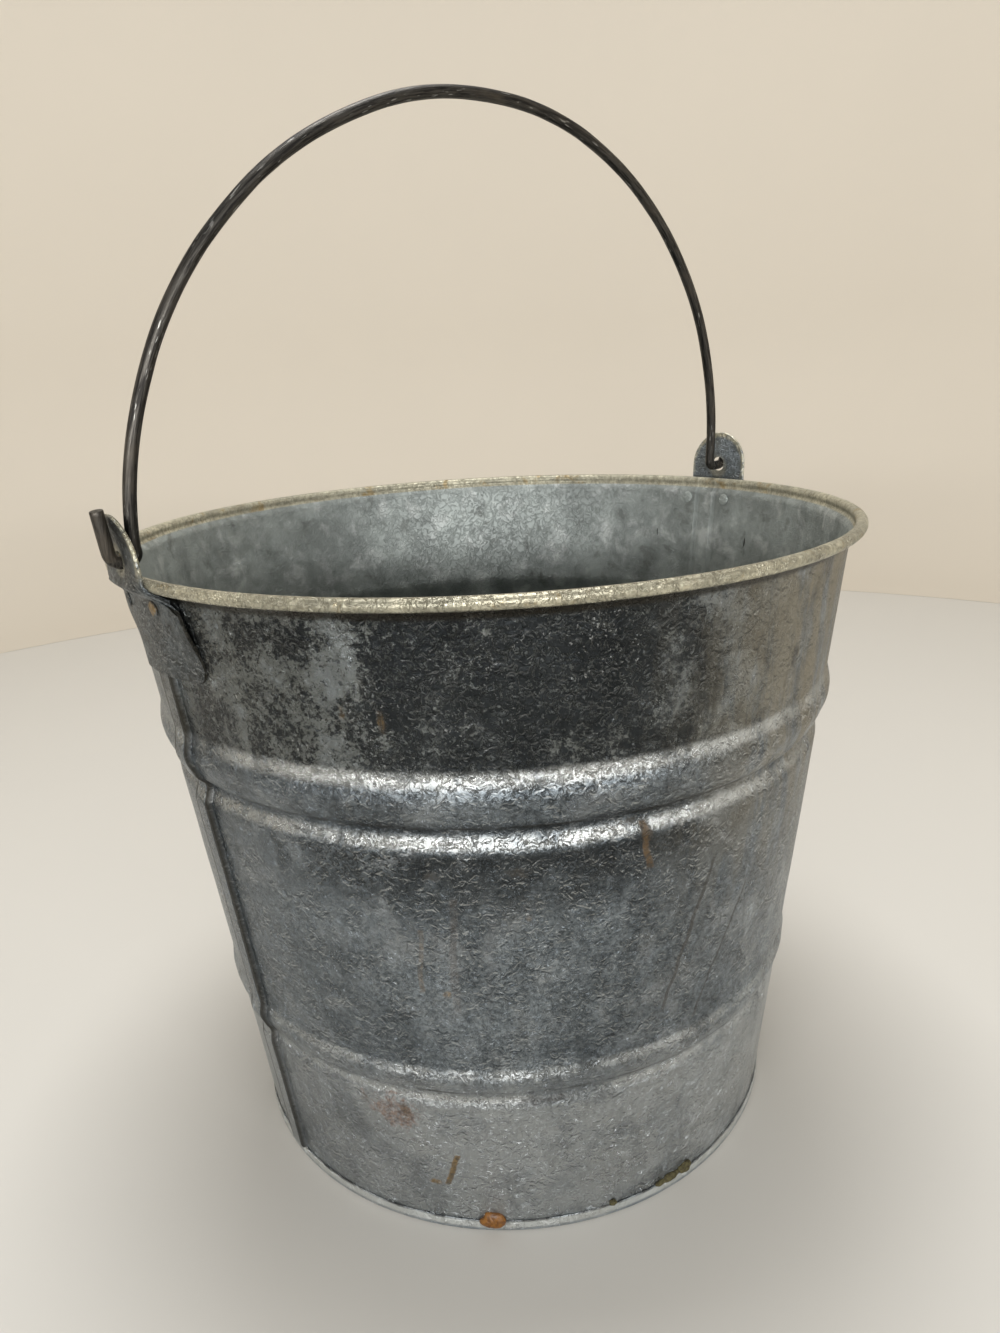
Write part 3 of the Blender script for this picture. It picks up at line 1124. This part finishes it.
def make_ear_material(finish):
    """Thicker zinc on the ears: dull and dark, rubbed bright at the top's edge, brown at one rivet."""
    material, graph, shader = new_material("worn_ear")
    place = use_group(graph, "Pail Place")
    position = place["Position"]
    split = graph.node("ShaderNodeSeparateXYZ", {0: position}).outputs
    zinc = use_group(graph, "Zinc Skin", {"Position": position, "Crinkle": 0.8, "Fleck Share": 0.8})
    colour = graph.blend(zinc["Tone"], finish.ear_dark, finish.ear_zinc)
    mottle = graph.ramp(zinc["Speckle"], 0.42, 0.6)
    colour = graph.lay(colour, finish.zinc_dark, mottle, 0.6, mode="MULTIPLY")
    smears = graph.ramp(graph.noise(position, 0.007, 6, 0.7, 0.5), 0.5, 0.64)
    dull_side = graph.ramp(split["X"], 0.05, -0.05)
    colour = graph.lay(colour, finish.grime, smears, dull_side, 0.5)
    colour = graph.blend(graph.minus(0.5, graph.product(dull_side, 0.5)), colour, finish.zinc)
    colour = graph.lay(colour, finish.zinc_pale, zinc["Glint"], 0.45)
    colour = graph.lay(colour, finish.zinc_black, zinc["Shade"], 0.6)
    up = graph.minus(split["Z"], HINGE_Z)
    across = split["Y"]
    away = graph.hypot(up, across)
    at_edge = graph.product(graph.ramp(away, 12.6 * MM, 14.2 * MM), graph.ramp(up, -6 * MM, -1 * MM))
    rubbed = graph.highest(
        graph.product(at_edge, graph.ramp(zinc["Speckle"], 0.36, 0.56)),
        graph.product(graph.ramp(away, 6.0 * MM, 3.5 * MM), 0.5))
    colour = graph.lay(colour, finish.rim_cream, rubbed, 0.8)
    beside = graph.minus(across, -RIVET_OUT)
    above = graph.minus(split["Z"], RIVET_Z)
    from_rivet = graph.hypot(above, beside)
    rag = graph.product(graph.minus(graph.noise(position, 0.0026, 4, 0.7), 0.5), 5 * MM)
    weep = graph.product(graph.ramp(graph.plus(from_rivet, rag), 2.9 * MM, 1.6 * MM),
                         graph.ramp(split["X"], -0.05, -0.1))
    rust = rust_bloom(graph, position, finish.rust_amount, finish)
    colour = graph.lay(colour, finish.drip_ochre, weep, 0.75)
    colour = graph.lay(colour, rust["Colour"], rust["Mask"], 0.7)
    colour = graph.lay(colour, finish.zinc_white, zinc["Flecks"], 0.6)
    edge = graph.product(graph.ramp(place["Facing"], 0.8, 0.45), graph.ramp(split["Z"], 0.226, 0.223))
    colour = graph.lay(colour, finish.grime, edge, 0.85)
    flat = graph.node("ShaderNodeVectorMath", {0: graph.stretch(position, (1, 1, 0))}, operation="LENGTH")
    tail = graph.product(graph.ramp(flat.outputs["Value"], 0.1302, 0.1298),
                         graph.ramp(split["Z"], 0.215, 0.218))
    colour = graph.blend(tail, colour, finish.lining)
    graph.feed(shader.inputs["Base Color"], colour)
    graph.feed(shader.inputs["Metallic"],
               graph.minus(0.9,
                           graph.product(graph.highest(rust["Mask"], weep, graph.product(tail, 0.6)), 0.7)))
    graph.feed(shader.inputs["Roughness"],
               graph.minus(graph.ramp(zinc["Tone"], 0.0, 1.0, 0.38, 0.5), graph.product(rubbed, 0.1)))
    bump(graph, shader, zinc["Relief"], finish.relief)
    return material


def make_wire_material(finish):
    """Drawn wire gone dark: lengthwise streaks, light scratches and a little brown rust."""
    material, graph, shader = new_material("drawn_wire")
    position = graph.node("ShaderNodeTexCoord").outputs["Object"]
    level = graph.stretch(position, (1, 1, 1), (0, 0, -HINGE_Z))
    upright = graph.node("ShaderNodeVectorRotate", {
        "Vector": level, "Angle": -BAIL_LEAN}, rotation_type="X_AXIS").outputs[0]
    split = graph.node("ShaderNodeSeparateXYZ", {0: upright}).outputs
    angle = graph.math("ARCTAN2", split["Z"], split["X"])
    away = graph.hypot(split["X"], split["Z"])
    along = graph.node("ShaderNodeCombineXYZ", {
        "X": graph.product(angle, WIRE_M_PER_RADIAN), "Y": split["Y"], "Z": away}).outputs[0]
    lines = graph.noise(graph.stretch(along, (0.07, 1, 1)), 0.0007, 4, 0.65)
    broad = graph.noise(graph.stretch(along, (0.35, 1, 1)), 0.008, 4, 0.6)
    colour = graph.blend(graph.ramp(lines, 0.36, 0.62), finish.wire_dark, finish.wire)
    colour = graph.lay(colour, finish.wire_brown, graph.ramp(broad, 0.5, 0.68), 0.6)
    scratch = graph.product(
        graph.ramp(graph.noise(graph.stretch(along, (0.12, 1, 1), (1, 2, 3)), 0.0006, 2, 0.5), 0.63, 0.7),
        graph.ramp(broad, 0.6, 0.4))
    colour = graph.lay(colour, finish.wire_bright, scratch, 0.8)
    graph.feed(shader.inputs["Base Color"], colour)
    graph.feed(shader.inputs["Metallic"], graph.ramp(broad, 0.45, 0.7, 0.85, 0.45))
    graph.feed(shader.inputs["Roughness"], graph.ramp(lines, 0.3, 0.7, 0.5, 0.36))
    bump(graph, shader, graph.plus(lines, graph.product(broad, 0.8)), 0.00018)
    return material


def make_dirt_materials(finish):
    """An amber blob of old resin and a crust of mossy dirt."""
    amber, graph, shader = new_material("amber_blob")
    position = graph.node("ShaderNodeTexCoord").outputs["Object"]
    cloud = graph.noise(position, 0.0022, 4, 0.6, 0.6)
    colour = graph.blend(graph.ramp(cloud, 0.35, 0.65), finish.amber_dark, finish.amber)
    graph.feed(shader.inputs["Base Color"], colour)
    graph.feed(shader.inputs["Roughness"], graph.ramp(cloud, 0.3, 0.7, 0.28, 0.55))
    bump(graph, shader, cloud, 0.0006)

    moss, graph, shader = new_material("mossy_dirt")
    position = graph.node("ShaderNodeTexCoord").outputs["Object"]
    clump = graph.noise(position, 0.0014, 5, 0.7, 0.6)
    colour = graph.blend(graph.ramp(clump, 0.35, 0.6), finish.moss_dark, finish.moss)
    graph.feed(shader.inputs["Base Color"], colour)
    graph.feed(shader.inputs["Roughness"], graph.ramp(clump, 0.3, 0.7, 0.95, 0.8))
    bump(graph, shader, clump, 0.001)
    return amber, moss


# ---- sizes and colours that a user may change -----------------------------------------------------

def tone(red, green, blue):
    """A linear colour from everyday 0 to 255 values."""
    return tuple(((v / 255 + 0.055) / 1.055) ** 2.4 if v > 10 else v / 255 / 12.92
                 for v in (red, green, blue))


def length(name, description, default_mm, highest_mm=10.0):
    """A length property."""
    return bpy.props.FloatProperty(
        name=name, description=description, default=default_mm * MM, min=0.0, max=highest_mm * MM,
        precision=5, unit="LENGTH")


def colour(name, description, default):
    """A colour property."""
    return bpy.props.FloatVectorProperty(
        name=name, description=description, default=default, size=3, min=0.0, max=1.0, subtype="COLOR")


class BucketShape(bpy.types.PropertyGroup):
    """Sizes of the bucket's small unevenness."""
    wall_columns: bpy.props.IntProperty(
        name="Wall columns", description="Points around each half of the wall",
        default=225, min=32, max=300)
    waviness: length("Waviness", "How far the wall strays from round", 0.3)
    rib_crumple: length("Rib crumple", "Height of the small creases over the ribs", 0.22)
    rim_lumps: length("Rim lumps", "Unevenness of the rolled rim", 0.1)
    floor_sag: length("Floor sag", "Unevenness of the floor", 0.5)
    foot_dents: length("Foot dents", "Depth of the dents in the foot", 0.35)
    ear_fillet: length("Ear fillet", "Rounding where an ear's neck meets its shoulders", 2.5)
    ear_dish: length("Ear dish", "Depth of the dish around an ear's hole", 1.05)
    ear_lip: length("Ear lip", "Height of the raised lip round the dish", 0.05)
    ear_tuck: length("Ear tuck", "How far the ears' lower corners are beaten in towards the wall", 1.2, 1.4)
    ear_waviness: length("Ear waviness", "Unevenness of an ear's plate", 0.1)
    rivet_hammering: length("Hammering", "Depth of the hammer marks on a rivet", 0.2)
    wire_lumps: bpy.props.FloatProperty(
        name="Wire lumps", description="Unevenness of the bail's thickness, as a share of it",
        default=0.025, min=0.0, max=0.1, subtype="FACTOR")


class BucketFinish(bpy.types.PropertyGroup):
    """Colours and wear of the bucket."""
    zinc: colour("Zinc", "Clean grey zinc", tone(142, 150, 155))
    zinc_dark: colour("Dark zinc", "Zinc that has dulled", tone(94, 101, 106))
    zinc_pale: colour("Pale zinc", "Oxidised zinc", tone(182, 186, 187))
    zinc_white: colour("White zinc", "Flecks of white oxide", tone(214, 216, 213))
    zinc_black: colour("Blackened zinc", "The glossy dark band", tone(22, 24, 25))
    band_film: colour("Band film", "Grey oxide over the dark band", tone(104, 107, 104))
    lining: colour("Lining", "Dull zinc inside the bucket", tone(152, 158, 154))
    lining_dark: colour("Dark lining", "Darker zinc inside the bucket", tone(116, 121, 118))
    band_darkness: bpy.props.FloatProperty(
        name="Band darkness", description="Strength of the dark band", default=0.9, min=0.0, max=1.0,
        subtype="FACTOR")
    rim_cream: colour("Rim cream", "Oxide film on the rim", tone(196, 190, 166))
    rim_grey: colour("Rim grey", "Bare metal on the rim", tone(150, 147, 130))
    rim_dark: colour("Rim dirt", "Dirt worn into the rim", tone(112, 108, 92))
    rim_stain: colour("Rim stain", "Brown stain on the rim", tone(136, 116, 74))
    water_stain: colour("Water stain", "Warm film that water leaves", tone(124, 117, 99))
    grime: colour("Grime", "Dirt in creases and trickles", tone(48, 45, 38))
    drip_brown: colour("Brown drip", "Dried brown trickle", tone(80, 60, 32))
    drip_ochre: colour("Ochre drip", "Dried ochre trickle", tone(112, 88, 44))
    rust_pink: colour("Pink rust", "Thin rust that shows through zinc", tone(122, 98, 80))
    rust_fresh: colour("Fresh rust", "Orange rust", tone(142, 84, 42))
    rust_old: colour("Old rust", "Dark brown rust", tone(64, 42, 30))
    rust_amount: bpy.props.FloatProperty(
        name="Rust", description="How much rust there is", default=0.1, min=0.0, max=1.0, subtype="FACTOR")
    ear_zinc: colour("Ear zinc", "Zinc on the ears", tone(120, 125, 126))
    ear_dark: colour("Dark ear zinc", "Dulled zinc on the ears", tone(70, 74, 75))
    wire: colour("Wire", "The bail's dark wire", tone(74, 71, 66))
    wire_dark: colour("Dark wire", "Dark streaks in the wire", tone(34, 32, 30))
    wire_brown: colour("Brown wire", "Rust film on the wire", tone(66, 58, 46))
    wire_bright: colour("Bright wire", "Scratches in the wire", tone(168, 166, 160))
    amber: colour("Amber", "The blob on the foot", tone(126, 82, 24))
    amber_dark: colour("Dark amber", "Darker parts of the blob", tone(88, 52, 14))
    moss: colour("Moss", "Mossy dirt on the foot", tone(88, 82, 50))
    moss_dark: colour("Dark moss", "Darker mossy dirt", tone(52, 46, 28))
    relief: length("Relief", "Depth of the zinc's crinkled skin", 0.8)


class BucketStudio(bpy.types.PropertyGroup):
    """The plain studio around the bucket."""
    floor: colour("Floor", "Colour of the floor", tone(204, 201, 194))
    backdrop: colour("Backdrop", "Colour of the backdrop", tone(206, 198, 184))
    room: bpy.props.FloatProperty(
        name="Room light", description="Strength of the even light from the room",
        default=0.24, min=0.0, max=2.0)
    overhead: bpy.props.FloatProperty(
        name="Overhead light", description="Power of the large overhead lamp",
        default=15.5, min=0.0, max=200.0)
    front: bpy.props.FloatProperty(
        name="Front light", description="Power of the long lamp in front of the worn side",
        default=24.0, min=0.0, max=200.0)


# ---- operators ------------------------------------------------------------------------------------

class BUCKET_OT_skins(bpy.types.Operator):
    """Make the finishes that the bucket's pieces share"""
    bl_idname = "bucket.skins"
    bl_label = "Finishes"

    def execute(self, context):
        finish = context.scene.bucket_finish
        for make in (make_place_group, make_zinc_group, make_spot_group, make_drip_group,
                     make_streak_group, make_rust_group):
            make()
        for make in (make_wall_material, make_foot_material, make_ear_material, make_wire_material,
                     make_dirt_materials):
            make(finish)
        return {"FINISHED"}


def dress(obj, *materials):
    """Gives an object its materials by name."""
    obj.data.materials.clear()
    for name in materials:
        obj.data.materials.append(bpy.data.materials[name])


class BUCKET_OT_wall(bpy.types.Operator):
    """Build both halves of the wall with their seams, ribs and rolled rim"""
    bl_idname = "bucket.wall"
    bl_label = "Wall"

    def execute(self, context):
        shape = context.scene.bucket_shape
        for name, node, start in (("wall_sheet_back", "wall_back", 0.0),
                                  ("wall_sheet_front", "wall_front", math.pi)):
            wall = build_wall(name, node, start, shape)
            dress(wall, "weathered_wall")
        return {"FINISHED"}


class BUCKET_OT_rim_wire(bpy.types.Operator):
    """Give the wire inside the rim its finish"""
    bl_idname = "bucket.rim_wire"
    bl_label = "Rim wire"

    def execute(self, context):
        wire = bpy.data.objects["rim_wire"]
        for slot in wire.material_slots:
            slot.material = bpy.data.materials["drawn_wire"]
        return {"FINISHED"}


class BUCKET_OT_bottom(bpy.types.Operator):
    """Build the pressed bottom with the dirt that sticks to its foot"""
    bl_idname = "bucket.bottom"
    bl_label = "Bottom"

    def execute(self, context):
        shape = context.scene.bucket_shape
        pan = turned_pan(360, shape)
        amber = dirt_lump(-5.5, 4.9 * MM, 4.6 * MM, 3.4 * MM, 1.7 * MM, 1)
        moss = [
            dirt_lump(30.0, 5.0 * MM, 4.2 * MM, 1.6 * MM, 1.1 * MM, 2),
            dirt_lump(33.6, 5.6 * MM, 3.4 * MM, 2.2 * MM, 1.4 * MM, 3),
            dirt_lump(27.6, 4.6 * MM, 2.2 * MM, 1.0 * MM, 0.9 * MM, 4),
            dirt_lump(17.1, 5.1 * MM, 1.5 * MM, 1.2 * MM, 0.9 * MM, 5)]
        points, faces = merge_parts([pan, amber, *moss])
        obj = new_object("bottom_sheet", points, faces)
        dress(obj, "weathered_bottom", "amber_blob", "mossy_dirt")
        first_amber = len(pan[1])
        first_moss = first_amber + len(amber[1])
        for polygon in obj.data.polygons:
            polygon.material_index = int(polygon.index >= first_amber) + int(polygon.index >= first_moss)
        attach(obj, "pail")
        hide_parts("bottom_pan")
        return {"FINISHED"}


class BUCKET_OT_ears(bpy.types.Operator):
    """Build both ears and their rivets"""
    bl_idname = "bucket.ears"
    bl_label = "Ears"

    def execute(self, context):
        shape = context.scene.bucket_shape
        for side, word in ((1, "right"), (-1, "left")):
            low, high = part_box("ear_" + word)
            plate = new_object("ear_sheet_" + word, *ear_plate(
                side, high.z - EAR_TOP_R, low.z, EAR_GAPS[word], shape))
            dress(plate, "worn_ear")
            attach(plate, "pail")
            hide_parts("ear_" + word)
            for place, across in (("front", -1), ("back", 1)):
                rivet = new_object("hammered_rivet_{}_{}".format(word, place),
                                   *rivet_solid(side, side * across * RIVET_OUT, shape), sharp_deg=60)
                dress(rivet, "worn_ear")
                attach(rivet, "pail")
                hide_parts("rivet_{}_{}".format(word, place))
        return {"FINISHED"}


class BUCKET_OT_bail(bpy.types.Operator):
    """Bend the bail's wire"""
    bl_idname = "bucket.bail"
    bl_label = "Bail"

    def execute(self, context):
        wire = new_object("bent_bail", *bail_wire(context.scene.bucket_shape))
        dress(wire, "drawn_wire")
        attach(wire, "bail")
        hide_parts("bail")
        return {"FINISHED"}


def plain_material(name, colour_value, grain):
    """A plain matte studio surface with a faint grain."""
    material, graph, shader = new_material(name)
    position = graph.node("ShaderNodeTexCoord").outputs["Object"]
    cloud = graph.noise(position, 0.3, 3, 0.5)
    darker = tuple(v * (1 - grain) for v in colour_value)
    graph.feed(shader.inputs["Base Color"], graph.blend(cloud, darker, colour_value))
    graph.feed(shader.inputs["Roughness"], 0.75)
    return material


def add_lamp(name, power, place, target, width, height):
    """An area lamp that looks at a point."""
    data = bpy.data.lights.new(name, "AREA")
    data.energy = power
    data.shape = "RECTANGLE"
    data.size = width
    data.size_y = height
    lamp = bpy.data.objects.new(name, data)
    bpy.context.scene.collection.objects.link(lamp)
    lamp.location = place
    lamp.rotation_euler = (Vector(target) - Vector(place)).to_track_quat("-Z", "Y").to_euler()
    return lamp


def add_camera():
    """The camera, close to the worn side and looking down on it."""
    data = bpy.data.cameras.new("camera")
    data.sensor_fit = "AUTO"
    data.sensor_width = 36.0
    data.lens = CAMERA_LENS
    camera = bpy.data.objects.new("camera", data)
    bpy.context.scene.collection.objects.link(camera)
    forward = Vector((math.sin(CAMERA_YAW) * math.cos(CAMERA_PITCH),
                      math.cos(CAMERA_YAW) * math.cos(CAMERA_PITCH), -math.sin(CAMERA_PITCH)))
    level = Vector((math.cos(CAMERA_YAW), -math.sin(CAMERA_YAW), 0))
    above = level.cross(forward)
    right = math.cos(CAMERA_ROLL) * level + math.sin(CAMERA_ROLL) * above
    up = -math.sin(CAMERA_ROLL) * level + math.cos(CAMERA_ROLL) * above
    turn = Matrix.Rotation(math.radians(FRONT_DEG + 90), 4, "Z")
    axes = Matrix((right, up, -forward)).transposed().to_4x4()
    camera.matrix_world = turn @ Matrix.Translation((0, -CAMERA_DISTANCE, CAMERA_HEIGHT)) @ axes
    bpy.context.scene.camera = camera


def add_backdrop(studio):
    """A floor that sweeps up into a half-round backdrop well behind the bucket."""
    radius, height, sweep = 1.25, 1.9, 0.35
    behind = math.radians(FRONT_DEG + 180)
    angles = np.linspace(behind - math.radians(105), behind + math.radians(105), 97)
    profile = [(radius - sweep + sweep * math.sin(a), sweep - sweep * math.cos(a))
               for a in np.linspace(0, math.pi / 2, 13)]
    profile += [(radius, z) for z in np.linspace(0.5, height, 6)]
    grid = np.array([[(r * math.cos(a), r * math.sin(a), z) for a in angles] for r, z in profile])
    index = np.arange(grid.shape[0] * grid.shape[1]).reshape(grid.shape[:2])
    faces = np.stack([index[:-1, :-1], index[1:, :-1], index[1:, 1:], index[:-1, 1:]], axis=2)
    wall = new_object("backdrop", grid.reshape(-1, 3), faces.reshape(-1, 4).tolist())
    wall.data.materials.append(plain_material("backdrop", studio.backdrop, 0.05))

    half = 3.0
    floor = new_object("floor", [(-half, -half, -0.0002), (half, -half, -0.0002), (half, half, -0.0002),
                                 (-half, half, -0.0002)], [(0, 1, 2, 3)])
    floor.data.materials.append(plain_material("floor", studio.floor, 0.03))


class BUCKET_OT_studio(bpy.types.Operator):
    """Set up the floor, backdrop, lamps and camera"""
    bl_idname = "bucket.studio"
    bl_label = "Studio"

    def execute(self, context):
        studio = context.scene.bucket_studio
        add_backdrop(studio)
        middle = (0, 0, 0.15)
        front = math.radians(FRONT_DEG)
        add_lamp("overhead_lamp", studio.overhead, (0.1, 0.15, 1.5), middle, 0.6, 0.6)
        # the front lamp is tipped up, so that little of it falls on the floor
        add_lamp("front_lamp", studio.front, (1.1 * math.cos(front), 1.1 * math.sin(front), 0.4),
                 (0, 0, 1.0), 1.8, 0.11)
        world = bpy.data.worlds.new("room")
        world.use_nodes = True
        background = world.node_tree.nodes["Background"]
        background.inputs["Color"].default_value = (1.0, 0.98, 0.95, 1.0)
        background.inputs["Strength"].default_value = studio.room
        context.scene.world = world
        context.scene.view_settings.view_transform = "Standard"
        add_camera()
        return {"FINISHED"}


class BUCKET_PT_panel(bpy.types.Panel):
    """Lists the bucket's parts, sizes and colours"""
    bl_label = "Galvanised Bucket"
    bl_idname = "BUCKET_PT_panel"
    bl_space_type = "VIEW_3D"
    bl_region_type = "UI"
    bl_category = "Bucket"

    def draw(self, context):
        for operator in PARTS:
            self.layout.operator(operator.bl_idname)
        for group in (context.scene.bucket_shape, context.scene.bucket_finish, context.scene.bucket_studio):
            box = self.layout.box()
            for name in group.__annotations__:
                box.prop(group, name)


PARTS = (BUCKET_OT_skins, BUCKET_OT_wall, BUCKET_OT_rim_wire, BUCKET_OT_bottom, BUCKET_OT_ears,
         BUCKET_OT_bail, BUCKET_OT_studio)
CLASSES = (BucketShape, BucketFinish, BucketStudio, *PARTS, BUCKET_PT_panel)


def register():
    """Adds the classes and the scene's settings."""
    for item in CLASSES:
        bpy.utils.register_class(item)
    bpy.types.Scene.bucket_shape = bpy.props.PointerProperty(type=BucketShape)
    bpy.types.Scene.bucket_finish = bpy.props.PointerProperty(type=BucketFinish)
    bpy.types.Scene.bucket_studio = bpy.props.PointerProperty(type=BucketStudio)


def unregister():
    """Removes what register added."""
    del bpy.types.Scene.bucket_studio
    del bpy.types.Scene.bucket_finish
    del bpy.types.Scene.bucket_shape
    for item in reversed(CLASSES):
        bpy.utils.unregister_class(item)


def main():
    """Builds everything in order and notes the sizes before and after."""
    register()
    bpy.ops.bucket.skins()
    bpy.ops.bucket.wall()
    bpy.ops.bucket.rim_wire()
    bpy.ops.bucket.bottom()
    bpy.ops.bucket.ears()
    bpy.ops.bucket.bail()
    bpy.ops.bucket.studio()


if __name__ == "__main__":
    main()
